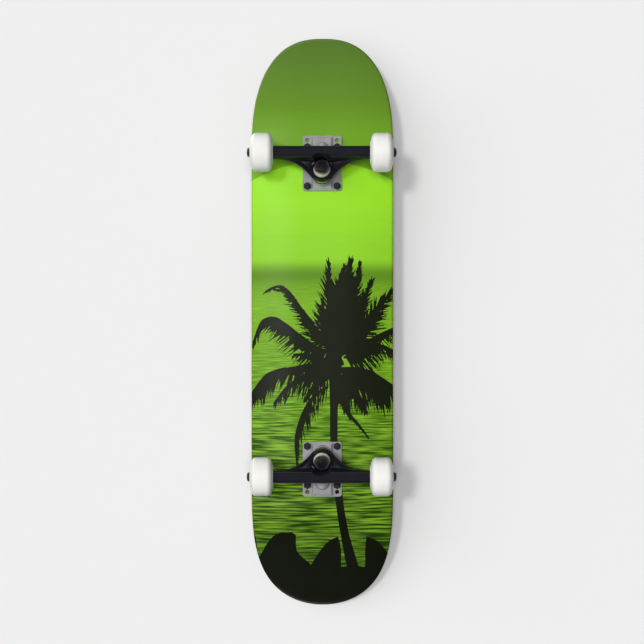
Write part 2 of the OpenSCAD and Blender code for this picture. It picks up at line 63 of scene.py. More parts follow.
deck_low, deck_high = (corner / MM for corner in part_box("deck"))
grip_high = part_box("grip_tape")[1] / MM
HALF_LENGTH = deck_high.x
HALF_WIDTH = deck_high.y
DECK_Z = deck_low.z
THICKNESS = 11.0
GRIP = grip_high.z - deck_high.z
CONCAVE_FLAT = 29.0
CONCAVE_RISE = 8.0
KICK_ANGLE = math.radians(20)
KICK_RADIUS = 150.0
BEND_NOSE = 252.0
BEND_TAIL = 263.0
NOSE_TAPER = 214.0
NOSE_SHAPE = (4.46, 2.04)
TAIL_TAPER = 172.0
TAIL_SHAPE = (2.69, 2.44)
RIM_IN = 3.4
RIM_RISE = 4.2
PRINT_EDGE = 0.4
GRIP_EDGE = 1.3
GLUE_GAP = 0.02
PLIES = 7
BOLTS_ACROSS = 41.3
BOLT_HOLE = 2.75
HEAD_HOLE = 5.0

# The grid on which the print's ink is drawn, and the share of a square that counts as inked.
INK_STEP = 0.5
INK_MARGIN = 2
INK_LEVEL = 0.49

# Gaps between the inner points of the board's meshes, and from those to the edge and to a hole's centre.
COLUMN_GAP = 8.0
ROW_GAP = 6
EDGE_MARGIN = 3
HOLE_MARGIN = 7

# ---------- the board's surfaces ----------


def kick(d):
    """Height gained at distance d past the start of a bend."""
    bend = KICK_RADIUS * math.sin(KICK_ANGLE)
    inside = np.clip(d, 0, bend)
    arc = KICK_RADIUS - np.sqrt(KICK_RADIUS**2 - inside**2)
    return arc + np.clip(d - bend, 0, None) * math.tan(KICK_ANGLE)


def underside(x, y):
    """Height of the board's underside, without its rounded rim."""
    out = np.clip((np.abs(y) - CONCAVE_FLAT) / (HALF_WIDTH - CONCAVE_FLAT), 0, None)
    return DECK_Z + CONCAVE_RISE * out**2 + kick(x - BEND_NOSE) + kick(-x - BEND_TAIL)


def rim_lift(inset):
    """How far the rounded rim rises above the underside at a distance in from the outline."""
    part = np.clip((RIM_IN - inset) / RIM_IN, 0, 1)
    return RIM_RISE * (1 - np.sqrt(1 - part**2))


def end_quarter(taper, shape):
    """A quarter of the outline from the widest place to the tip: distance along, half-width."""
    phi = np.linspace(0, math.pi / 2, 700)
    along = taper * np.sin(phi) ** (2 / shape[0])
    across = HALF_WIDTH * np.cos(phi) ** (2 / shape[1])
    across[-1] = 0
    return along, across


def outline(count):
    """The board's plan outline, counter-clockwise from the nose tip: points and their outward normals."""
    nose_x, nose_y = end_quarter(NOSE_TAPER, NOSE_SHAPE)
    tail_x, tail_y = end_quarter(TAIL_TAPER, TAIL_SHAPE)
    x = np.concatenate([(HALF_LENGTH - NOSE_TAPER + nose_x)[::-1], TAIL_TAPER - HALF_LENGTH - tail_x])
    y = np.concatenate([nose_y[::-1], tail_y])
    x = np.concatenate([x, x[::-1]])
    y = np.concatenate([y, -y[::-1]])
    run = np.concatenate([[0], np.cumsum(np.hypot(np.diff(x), np.diff(y)))])
    at = np.linspace(0, run[-1], count, endpoint=False)
    points = np.stack([np.interp(at, run, x), np.interp(at, run, y)], axis=1)
    along = np.roll(points, -1, axis=0) - np.roll(points, 1, axis=0)
    normals = np.stack([along[:, 1], -along[:, 0]], axis=1)
    return points, normals / np.linalg.norm(normals, axis=1)[:, None]


EDGE, EDGE_NORMAL = outline(420)


def loop(inset):
    """The outline drawn in by inset."""
    return EDGE - EDGE_NORMAL * inset


def inset_of(points):
    """Distance of points from the outline."""
    fine = outline(1600)[0]
    return np.concatenate([
        np.sqrt(((chunk[:, None] - fine[None]) ** 2).sum(2)).min(1)
        for chunk in np.array_split(points, max(1, len(points) // 500))
    ])


def half_width(x):
    """Half-width of the outline at x."""
    taper, shape = (NOSE_TAPER, NOSE_SHAPE) if x > 0 else (TAIL_TAPER, TAIL_SHAPE)
    d = HALF_LENGTH - abs(x)
    if d >= taper:
        return HALF_WIDTH
    return HALF_WIDTH * max(0, 1 - (1 - d / taper) ** shape[0]) ** (1 / shape[1])


def circle(x, y, radius):
    count = 28
    turns = np.arange(count) * 2 * math.pi / count
    return np.stack([x + radius * np.cos(turns), y + radius * np.sin(turns)], axis=1)


class InkMap:
    """The printed shapes together, as the share that they cover of each small square of the board.
    Each square is tested at four places."""

    def __init__(self, shapes):
        self.low = np.array([-HALF_LENGTH - INK_MARGIN, -HALF_WIDTH - INK_MARGIN])
        nx, ny = (int(2 * -low / INK_STEP) for low in self.low)
        half = INK_STEP / 2
        xs = self.low[0] + (np.arange(2 * nx) + 0.5) * half
        ys = self.low[1] + (np.arange(2 * ny) + 0.5) * half
        inked = np.zeros((2 * nx, 2 * ny), bool)
        for shape in shapes:
            i0, i1 = np.searchsorted(xs, (shape[:, 0].min(), shape[:, 0].max()))
            winding = np.zeros((i1 - i0, 2 * ny), int)
            x = xs[i0:i1, None]
            for (ax, ay), (bx, by) in zip(shape, np.roll(shape, -1, axis=0)):
                j0, j1 = np.searchsorted(ys, sorted((ay, by)))
                side = (bx - ax) * (ys[None, j0:j1] - ay) - (x - ax) * (by - ay)
                winding[:, j0:j1] += (side > 0) if by > ay else -(side < 0).astype(int)
            inked[i0:i1] |= winding != 0
        self.share = inked.reshape(nx, 2, ny, 2).mean((1, 3))

    def at(self, points):
        """Whether points are inked."""
        place = (points - self.low) / INK_STEP - 0.5
        corner = np.clip(np.floor(place).astype(int), 0, np.array(self.share.shape) - 2)
        (i, j), (u, v) = corner.T, (place - corner).T
        s = self.share
        blend = ((1 - u) * (1 - v) * s[i, j] + u * (1 - v) * s[i + 1, j]
                 + (1 - u) * v * s[i, j + 1] + u * v * s[i + 1, j + 1])
        return blend > INK_LEVEL

    def outline(self):
        """Points and edges of the line between ink and picture."""
        s = self.share - INK_LEVEL
        points, crossings = [], []
        start = 0
        for ahead in ((1, 0), (0, 1)):
            a = s[:s.shape[0] - ahead[0], :s.shape[1] - ahead[1]]
            b = s[ahead[0]:, ahead[1]:]
            i, j = np.nonzero((a > 0) != (b > 0))
            t = a[i, j] / (a[i, j] - b[i, j])
            place = np.stack([i + ahead[0] * t, j + ahead[1] * t], axis=1) + 0.5
            points.append(self.low + place * INK_STEP)
            ids = np.full(a.shape, -1)
            ids[i, j] = start + np.arange(len(i))
            start += len(i)
            crossings.append(ids)
        h, v = crossings
        around = np.stack([h[:, :-1], v[1:], h[:, 1:], v[:-1]])
        count = (around >= 0).sum(0)
        edges = [np.sort(around, axis=0)[2:, count == 2].T]
        inner = (s[:-1, :-1] > 0)[count == 4]
        full = around[:, count == 4]
        edges += [full[:2, ~inner].T, full[2:, ~inner].T, full[[3, 0]][:, inner].T, full[1:3, inner].T]
        return np.concatenate(points), np.concatenate(edges)


def patch(insets, holes=(), ink=None):
    """A triangulated board-shaped sheet. Its edge is the outline drawn in by insets[0], and the other insets
    are loops inside it. holes are cut out. Returns points, triangles and each triangle's mark: 1 if inked."""
    coords, faces, edges = [], [], []

    def add(points, face):
        start = len(coords)
        coords.extend(Vector(map(float, p)) for p in points)
        ring = list(range(start, len(coords)))
        if face:
            faces.append(ring)
        else:
            edges.extend(zip(ring, ring[1:] + ring[:1]))

    add(loop(insets[0]), True)
    for points in holes:
        add(points, True)
    if ink:
        points, borders = ink.outline()
        edges.extend((borders + len(coords)).tolist())
        coords.extend(Vector(point) for point in points.tolist())
    for inset in insets[1:]:
        add(loop(inset), False)
    centres = [hole.mean(0) for hole in holes]
    for x in np.arange(-HALF_LENGTH, HALF_LENGTH, COLUMN_GAP):
        reach = half_width(x) - insets[-1] - EDGE_MARGIN
        rows = max(0, int(reach // ROW_GAP))
        for k in range(-rows, rows + 1):
            y = k * reach / max(rows, 1)
            if all(math.hypot(x - cx, y - cy) > HOLE_MARGIN for cx, cy in centres):
                coords.append(Vector((float(x), float(y))))
    points, _, tris, _, _, owners = delaunay_2d_cdt(coords, edges, faces, 0, 1e-5, True)
    points = np.array([point[:] for point in points])
    kept = np.array([tri for tri, owner in zip(tris, owners) if list(owner) == [0]])
    marks = ink.at(points[kept].mean(1)) if ink else np.zeros(len(kept))
    used, kept = np.unique(kept, return_inverse=True)
    return points[used], kept.reshape(-1, 3).tolist(), marks.astype(int).tolist()


# ---------- meshes ----------


def new_object(name, points, faces, materials, marks=None, smooth=True):
    """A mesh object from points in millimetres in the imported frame; marks are its faces' materials."""
    mesh = bpy.data.meshes.new(name)
    mesh.from_pydata([tuple(np.array(p) * MM) for p in points], [], faces)
    for material in materials:
        mesh.materials.append(material)
    if marks is not None:
        mesh.polygons.foreach_set("material_index", marks)
    if smooth:
        mesh.shade_smooth()
    obj = bpy.data.objects.new(name, mesh)
    bpy.context.scene.collection.objects.link(obj)
    return obj


def modifier(obj, kind, **settings):
    made = obj.modifiers.new(kind.title(), kind)
    for key, value in settings.items():
        setattr(made, key, value)
    return made


def fillet(corners, steps):
    """A profile of (radius, height, rounding) corners with each corner rounded by a curve of that size."""
    made = []
    count = len(corners)
    for i, (r, h, size) in enumerate(corners):
        here = np.array([r, h])
        if size <= 0:
            made.append(here)
            continue
        before = np.array(corners[i - 1][:2]) - here
        after = np.array(corners[(i + 1) % count][:2]) - here
        reach = min(size, np.linalg.norm(before) * 0.49, np.linalg.norm(after) * 0.49)
        a = here + before / np.linalg.norm(before) * reach
        b = here + after / np.linalg.norm(after) * reach
        for t in np.linspace(0, 1, steps):
            made.append((1 - t) ** 2 * a + 2 * t * (1 - t) * here + t * t * b)
    return made


def lathe(name, profile, origin, axis, materials, segments, sharp):
    """A closed ring-shaped profile of (radius, height) turned about an axis that starts at origin.
    Edges that bend by more than sharp degrees look sharp."""
    axis = Vector(axis).normalized()
    side = axis.orthogonal().normalized()
    other = axis.cross(side)
    points, faces = [], []
    for k in range(segments):
        turn = 2 * math.pi * k / segments
        out = side * math.cos(turn) + other * math.sin(turn)
        for r, h in profile:
            points.append(Vector(origin) + axis * h + out * r)
    size = len(profile)
    for k in range(segments):
        a, b = k * size, (k + 1) % segments * size
        for j in range(size):
            n = (j + 1) % size
            faces.append([a + j, a + n, b + n, b + j])
    obj = new_object(name, points, faces, materials)
    obj.data.set_sharp_from_angle(angle=math.radians(sharp))
    return obj


# ---------- material graphs ----------


def srgb(r, g, b):
    """Linear colour with alpha from an sRGB one given in 0 to 255."""
    def linear(c):
        c /= 255
        return c / 12.92 if c <= 0.04045 else ((c + 0.055) / 1.055) ** 2.4
    return (linear(r), linear(g), linear(b), 1)


class Graph:
    """A material's node tree, with short calls for the nodes that it uses."""

    def __init__(self, name, **sockets):
        self.material = bpy.data.materials.new(name)
        self.material.use_nodes = True
        self.tree = self.material.node_tree
        self.shader = self.tree.nodes["Principled BSDF"]
        for socket, value in sockets.items():
            self.shader.inputs[socket.replace("_", " ")].default_value = value
        where = self.tree.nodes.new("ShaderNodeTexCoord")
        self.place = where.outputs["Object"]

    def give(self, socket, value):
        if isinstance(value, bpy.types.NodeSocket):
            self.tree.links.new(value, socket)
        else:
            socket.default_value = value

    def math(self, operation, a, b=0.0, c=0.0):
        node = self.tree.nodes.new("ShaderNodeMath")
        node.operation = operation
        for socket, value in zip(node.inputs, (a, b, c)):
            self.give(socket, value)
        return node.outputs[0]

    def axes(self):
        node = self.tree.nodes.new("ShaderNodeSeparateXYZ")
        self.give(node.inputs[0], self.place)
        return node.outputs

    def join(self, x, y):
        node = self.tree.nodes.new("ShaderNodeCombineXYZ")
        for socket, value in zip(node.inputs, (x, y)):
            self.give(socket, value)
        return node.outputs[0]

    def stretch(self, scale):
        node = self.tree.nodes.new("ShaderNodeMapping")
        self.give(node.inputs["Vector"], self.place)
        node.inputs["Scale"].default_value = scale
        return node.outputs[0]

    def noise(self, scale, detail, roughness=0.5, vector=None):
        node = self.tree.nodes.new("ShaderNodeTexNoise")
        self.give(node.inputs["Vector"], vector or self.place)
        node.inputs["Scale"].default_value = scale
        node.inputs["Detail"].default_value = detail
        node.inputs["Roughness"].default_value = roughness
        return node.outputs["Fac"]

    def cells(self, scale):
        node = self.tree.nodes.new("ShaderNodeTexVoronoi")
        self.give(node.inputs["Vector"], self.place)
        node.inputs["Scale"].default_value = scale
        return node.outputs["Distance"]

    def ramp(self, value, stops):
        node = self.tree.nodes.new("ShaderNodeValToRGB")
        self.give(node.inputs[0], value)
        band = node.color_ramp
        while len(band.elements) < len(stops):
            band.elements.new(0.5)
        for element, (at, colour) in zip(band.elements, stops):
            element.position = at
            element.color = colour
        return node.outputs[0]

    def span(self, value, low, high, to_low=0.0, to_high=1.0, smooth=False):
        node = self.tree.nodes.new("ShaderNodeMapRange")
        if smooth:
            node.interpolation_type = "SMOOTHSTEP"
        for socket, v in zip(node.inputs, (value, low, high, to_low, to_high)):
            self.give(socket, v)
        return node.outputs[0]

    def mix(self, amount, a, b):
        node = self.tree.nodes.new("ShaderNodeMix")
        node.data_type = "RGBA"
        self.give(node.inputs[0], amount)
        self.give(node.inputs[6], a)
        self.give(node.inputs[7], b)
        return node.outputs[2]

    def attribute(self, name):
        node = self.tree.nodes.new("ShaderNodeAttribute")
        node.attribute_name = name
        return node.outputs["Fac"]

    def bump(self, height, distance, strength):
        node = self.tree.nodes.new("ShaderNodeBump")
        node.inputs["Strength"].default_value = strength
        node.inputs["Distance"].default_value = distance
        self.give(node.inputs["Height"], height)
        self.give(self.shader.inputs["Normal"], node.outputs[0])

    def colour(self, value):
        self.give(self.shader.inputs["Base Color"], value)

    def rough(self, value):
        self.give(self.shader.inputs["Roughness"], value)


def print_gloss(g):
    """Fine scuffs in the print's clear coat, and a faint grain of the wood under it."""
    scuffs = g.noise(1, 3, 0.6, g.stretch((180, 900, 180)))
    g.rough(g.span(scuffs, 0.35, 0.7, 0.3, 0.42))
    grain = g.noise(1, 4, 0.55, g.stretch((25, 700, 25)))
    g.bump(grain, 0.00006, 0.5)


def print_picture():
    """The printed sky, low sun and rippled sea. Up in the picture is towards the tail; up, right, the horizon
    and the sun are in millimetres from the middle of the board."""
    g = Graph("print_picture", Specular_IOR_Level=0.3)
    x, y, _ = g.axes()
    up = g.math("MULTIPLY", x, -1000.0)
    right = g.math("MULTIPLY", y, -1000.0)
    horizon = 64.0
    sun_middle = 25.0
    sun_radius = 196.4

    sky = g.ramp(g.span(up, 200, 400), [
        (0.0, srgb(126, 184, 36)), (0.33, srgb(113, 163, 40)), (0.53, srgb(104, 146, 41)),
        (0.8, srgb(93, 133, 43)), (1.0, srgb(88, 120, 42))])
    cloud = g.noise(1, 4, 0.6, g.stretch((60, 5, 5)))
    sky = g.mix(g.span(cloud, 0.35, 0.75, 0.0, 0.12), sky, srgb(80, 112, 36))
    from_sun = g.math("SQRT", g.math("ADD",
                      g.math("POWER", g.math("SUBTRACT", up, sun_middle), 2.0),
                      g.math("POWER", right, 2.0)))
    sun = g.ramp(g.span(up, horizon, 225), [
        (0.0, srgb(146, 212, 47)), (0.3, srgb(149, 217, 47)), (0.62, srgb(158, 230, 45)),
        (1.0, srgb(158, 232, 46))])
    streaks = g.noise(1, 3, 0.6, g.stretch((190, 3, 5)))
    sun = g.mix(g.span(streaks, 0.4, 0.8, 0.0, 0.08), sun, srgb(112, 184, 32))
    above = g.mix(g.span(from_sun, sun_radius - 0.8, sun_radius + 0.8, 1.0, 0.0), sky, sun)

    # The sea's ripples are rows that grow wider and flatter with the depth below the horizon.
    depth = g.math("MAXIMUM", g.math("SUBTRACT", horizon, up), 0.01)
    deep = g.span(depth, 0, 394)
    wander = g.noise(1, 2, 0.5, g.stretch((5, 10, 9)))
    rows = g.math("MULTIPLY_ADD", g.math("POWER", depth, 0.62), 6.0, g.math("MULTIPLY", wander, 2.2))
    along = g.math("DIVIDE", right, g.span(deep, 0, 1, 16, 52))
    swell = g.noise(1.0, 2, 0.4, g.join(rows, along))
    light = g.ramp(deep, [
        (0.0, srgb(116, 168, 40)), (0.11, srgb(134, 190, 44)), (0.4, srgb(138, 192, 46)),
        (0.54, srgb(140, 192, 48)), (0.8, srgb(134, 180, 48)), (1.0, srgb(112, 156, 38))])
    dark = g.ramp(deep, [
        (0.0, srgb(106, 152, 36)), (0.11, srgb(122, 174, 38)), (0.4, srgb(84, 130, 16)),
        (0.54, srgb(52, 92, 4)), (0.8, srgb(32, 64, 0)), (1.0, srgb(28, 56, 0))])
    sea = g.mix(g.span(swell, 0.4, 0.68), dark, light)
    picture = g.mix(g.span(up, horizon - 1.2, horizon + 1.2), sea, above)
    off = g.math("ABSOLUTE", g.math("SUBTRACT", up, horizon))
    haze = g.math("MULTIPLY", g.span(off, 0, 24, 0.96, 0.0, smooth=True), g.span(up, 48, 62, 0.45, 1.0))
    g.colour(g.mix(haze, picture, srgb(98, 143, 34)))
    print_gloss(g)
    return g.material


def print_ink():
    """The near-black ink of the palm and the shore."""
    g = Graph("print_ink", Specular_IOR_Level=0.3)
    x, _, _ = g.axes()
    # Painted sheen: the ink is lighter towards the tail and darker towards the nose, standing in for a sheen
    # of light on the crown.
    base = g.mix(g.span(x, 0.1, 0.3), srgb(25, 30, 15), srgb(9, 15, 1))
    g.colour(g.mix(g.span(g.noise(60, 3), 0.4, 0.8, 0, 0.4), base, srgb(16, 21, 7)))
    print_gloss(g)
    return g.material


def maple_edge():
    """The seven plies that show around the board's rim."""
    g = Graph("maple_edge", Roughness=0.5)
    height = g.math("MULTIPLY", g.attribute("ply"), float(PLIES))
    part = g.math("FRACT", height)
    seam = g.math("ABSOLUTE", g.math("SUBTRACT", part, 0.5))
    odd = g.math("FLOOR", g.math("MULTIPLY", g.math("FRACT", g.math("MULTIPLY", height, 0.5)), 2.0))
    grain = g.noise(1, 4, 0.6, g.stretch((60, 260, 900)))
    light = g.mix(grain, srgb(222, 190, 148), srgb(196, 158, 112))
    cross = g.mix(grain, srgb(188, 146, 100), srgb(158, 116, 76))
    wood = g.mix(odd, light, cross)
    g.colour(g.mix(g.span(seam, 0.44, 0.49), wood, srgb(96, 66, 42)))
    g.rough(g.span(grain, 0.3, 0.7, 0.42, 0.6))
    g.bump(g.math("ADD", g.math("MULTIPLY", g.span(seam, 0.42, 0.5), -0.6), grain), 0.00012, 0.6)
    return g.material


def grip_grit():
    """Black abrasive grit."""
    g = Graph("grip_grit", Roughness=0.85, Specular_IOR_Level=0.6)
    grit = g.cells(1900)
    coarse = g.noise(700, 3, 0.7)
    sparkle = g.span(g.noise(2600, 1, 0.5), 0.72, 0.8)
    base = g.mix(g.span(grit, 0.1, 0.6), srgb(50, 50, 51), srgb(17, 17, 18))
    base = g.mix(g.span(g.noise(14, 4, 0.6), 0.35, 0.75, 0.0, 0.5), base, srgb(34, 34, 35))
    g.colour(g.mix(sparkle, base, srgb(150, 150, 152)))
    g.rough(g.span(grit, 0, 0.7, 0.65, 0.95))
    g.bump(g.math("ADD", g.math("MULTIPLY", grit, -1.0), coarse), 0.00035, 0.9)
    return g.material


def cast_aluminium():
    """Tumbled bare casting."""
    g = Graph("cast_aluminium", Metallic=0.25)
    cloudy = g.noise(70, 4, 0.6)
    pits = g.noise(1100, 3, 0.6)
    g.colour(g.ramp(cloudy, [(0.3, srgb(158, 157, 160)), (0.7, srgb(182, 181, 183))]))
    g.rough(g.span(cloudy, 0.3, 0.7, 0.5, 0.62))
    g.bump(g.math("ADD", pits, g.math("MULTIPLY", cloudy, 1.5)), 0.00009, 0.7)
    return g.material


def black_coat():
    """Satin black coating on a casting."""
    g = Graph("black_coat", Metallic=0.6, Specular_IOR_Level=0.35)
    g.shader.inputs["Specular Tint"].default_value = (0.4, 0.4, 0.42, 1)
    peel = g.noise(520, 3, 0.55)
    broad = g.noise(40, 3, 0.5)
    g.colour(g.mix(broad, srgb(36, 36, 43), srgb(46, 46, 55)))
    g.rough(g.span(broad, 0.3, 0.7, 0.32, 0.42))
    g.bump(peel, 0.00008, 0.6)
    return g.material


def black_steel():
    """Blackened steel of the nuts and bolts."""
    g = Graph("black_steel", Metallic=0.7)
    tone = g.noise(420, 4, 0.6)
    g.colour(g.mix(tone, srgb(38, 38, 41), srgb(78, 78, 82)))
    g.rough(g.span(tone, 0.3, 0.7, 0.3, 0.48))
    g.bump(tone, 0.00005, 0.6)
    return g.material


def steel(name, tone, rough):
    """Machined steel with fine turning marks."""
    g = Graph(name, Metallic=1.0)
    streak = g.noise(1, 3, 0.6, g.stretch((300, 4000, 300)))
    g.colour(g.mix(streak, srgb(*tone), srgb(*(min(255, int(c * 1.12)) for c in tone))))
    g.rough(g.span(streak, 0.3, 0.7, rough, rough + 0.12))
    g.bump(streak, 0.00002, 0.5)
    return g.material


def black_rubber():
    """Moulded rubber of the bearing shields."""
    g = Graph("black_rubber", Specular_IOR_Level=0.4)
    tone = g.noise(900, 3, 0.6)
    g.colour(g.mix(tone, srgb(22, 22, 23), srgb(38, 38, 39)))
    g.rough(g.span(tone, 0.3, 0.7, 0.55, 0.7))
    g.bump(tone, 0.00004, 0.5)
    return g.material


def cup_plastic():
    """Dark plastic of the pivot cups."""
    g = Graph("cup_plastic", Specular_IOR_Level=0.4)
    tone = g.noise(300, 3, 0.6)
    g.colour(g.mix(tone, srgb(30, 30, 31), srgb(46, 46, 47)))
    g.rough(g.span(tone, 0.3, 0.7, 0.4, 0.55))
    g.bump(tone, 0.00004, 0.4)
    return g.material


def cream_urethane():
    """Soft bushing urethane."""
    g = Graph("cream_urethane", Subsurface_Weight=0.25, Subsurface_Scale=0.004, Specular_IOR_Level=0.45)
    g.shader.inputs["Subsurface Radius"].default_value = (1.0, 0.8, 0.5)
    tone = g.noise(120, 3, 0.5)
    g.colour(g.mix(tone, srgb(232, 226, 204), srgb(222, 212, 184)))
    g.rough(g.span(tone, 0.3, 0.7, 0.34, 0.46))
    g.bump(g.noise(600, 2), 0.00005, 0.4)
    return g.material


def white_urethane(name, middle):
    """Cast wheel urethane: fine turning rings on the faces, and a slightly duller tread."""
    g = Graph(name, Subsurface_Weight=0.12, Subsurface_Scale=0.005, Specular_IOR_Level=0.45)
    g.shader.inputs["Subsurface Radius"].default_value = (1.0, 0.95, 0.85)
    x, _, z = g.axes()
    dx = g.math("SUBTRACT", x, middle.x)
    dz = g.math("SUBTRACT", z, middle.z)
    radius = g.math("SQRT", g.math("ADD", g.math("MULTIPLY", dx, dx), g.math("MULTIPLY", dz, dz)))
    rings = g.noise(1, 2, 0.5, g.join(g.math("MULTIPLY", radius, 2600.0), 0.0))
    tread = g.span(radius, 0.025, 0.0262)
    tone = g.noise(90, 4, 0.6)
    g.colour(g.mix(g.math("MULTIPLY", tone, 0.5), srgb(252, 251, 247), srgb(243, 242, 236)))
    g.rough(g.math("ADD", g.span(tone, 0.3, 0.7, 0.3, 0.4), g.math("MULTIPLY", tread, 0.12)))
    fine = g.noise(1500, 2, 0.6)
    height = g.mix(tread, rings, fine)
    g.bump(height, 0.00004, 0.6)
    return g.material


PICTURE = print_picture()
INK = print_ink()
MAPLE = maple_edge()
GRIT = grip_grit()
CASTING = cast_aluminium()
COATED = black_coat()
BLACK = black_steel()
PLATED = steel("plated_steel", (172, 172, 174), 0.2)
AXLE = steel("axle_steel", (150, 150, 152), 0.28)
RACE = steel("bearing_steel", (176, 176, 180), 0.16)
DARK = steel("dark_steel", (74, 74, 78), 0.3)
RUBBER = black_rubber()
CUP = cup_plastic()
CREAM = cream_urethane()

# ---------- the printed palm and shore, in picture millimetres: right, up ----------


def on_board(points):
    """Picture points (right, up) as board points (x, y), counter-clockwise."""
    made = np.array([(-up, -right) for right, up in points], float)
    nxt = np.roll(made, -1, axis=0)
    area = (made[:, 0] * nxt[:, 1] - made[:, 1] * nxt[:, 0]).sum()
    return made if area > 0 else made[::-1]


def blade(base, direction, length, width):
    """One slender leaflet."""
    side = np.array([-direction[1], direction[0]])
    mid = base + direction * length * 0.4
    tip = base + direction * length
    return [base - side * width * 0.4, mid - side * width * 0.5, tip, mid + side * width * 0.5,
            base + side * width * 0.4]


def smooth_line(points, count):
    """Evenly spaced points along a smooth curve through the given ones (Catmull-Rom)."""
    points = np.array(points, float)
    ends = np.concatenate([[2 * points[0] - points[1]], points, [2 * points[-1] - points[-2]]])
    made = []
    for k in range(1, len(ends) - 2):
        a, b, c, d = ends[k - 1:k + 3]
        for t in np.linspace(0, 1, 16, endpoint=False):
            made.append(0.5 * (2 * b + (c - a) * t + (2 * a - 5 * b + 4 * c - d) * t * t
                               + (3 * b - a - 3 * c + d) * t**3))
    made = np.array(made + [points[-1]])
    run = np.concatenate([[0], np.cumsum(np.hypot(*np.diff(made, axis=0).T))])
    at = np.linspace(0, run[-1], count)
    return np.stack([np.interp(at, run, made[:, k]) for k in (0, 1)], axis=1)


def frond(draw, points, left, right, hang, body):
    """A feather-shaped palm leaf: a curved rib through points, with a row of leaflets on each side.
    left and right are their longest lengths, hang bends them down, and body is the part of their length
    over which they overlap into one dark mass. wide and lean are degrees away from the rib."""
    length = np.hypot(*np.diff(np.array(points, float), axis=0).T).sum()
    steps = max(12, int(length / 1.8))
    rib = smooth_line(points, steps + 1)
    ahead = np.gradient(rib, axis=0)
    ahead /= np.linalg.norm(ahead, axis=1)[:, None]
    across = np.stack([-ahead[:, 1], ahead[:, 0]], axis=1)
    taper = np.linspace(1.6, 0.4, steps + 1)[:, None]
    shapes = [np.concatenate([rib + across * taper, (rib - across * taper)[::-1]])]
    for side, leaf in ((1, left), (-1, right)):
        edge = []
        for k in range(1, steps + 1):
            t = k / steps
            reach = leaf * min(1, 0.5 + 2.5 * t) * (1 - 0.72 * t**1.4)
            wide = 52 - 34 * t
            lean = draw.uniform(-12, 9)
            spread = math.radians(wide + lean)
            way = ahead[k] * math.cos(spread) + across[k] * side * math.sin(spread)
            way = way + np.array([0, -hang * (1 + lean / 40)])
            way /= np.linalg.norm(way)
            edge.append(rib[k] + way * reach * body * draw.uniform(0.6, 1.2))
            start = 0.45 * body * reach
            size = reach * draw.uniform(0.75, 1.25) - start
            shapes.append(np.array(blade(rib[k] + way * start, way, size, draw.uniform(1.3, 2.2))))
        shapes.append(np.concatenate([rib[1:], np.array(edge)[::-1]]))
    return shapes


def curved_strip(points, widths):
    """A strip along a smooth line through points, with widths along it."""
    line = smooth_line(points, 40)
    width = np.interp(np.linspace(0, 1, 40), np.linspace(0, 1, len(widths)), widths)[:, None] / 2
    ahead = np.gradient(line, axis=0)
    ahead /= np.linalg.norm(ahead, axis=1)[:, None]
    across = np.stack([-ahead[:, 1], ahead[:, 0]], axis=1)
    return np.concatenate([line + across * width, (line - across * width)[::-1]])


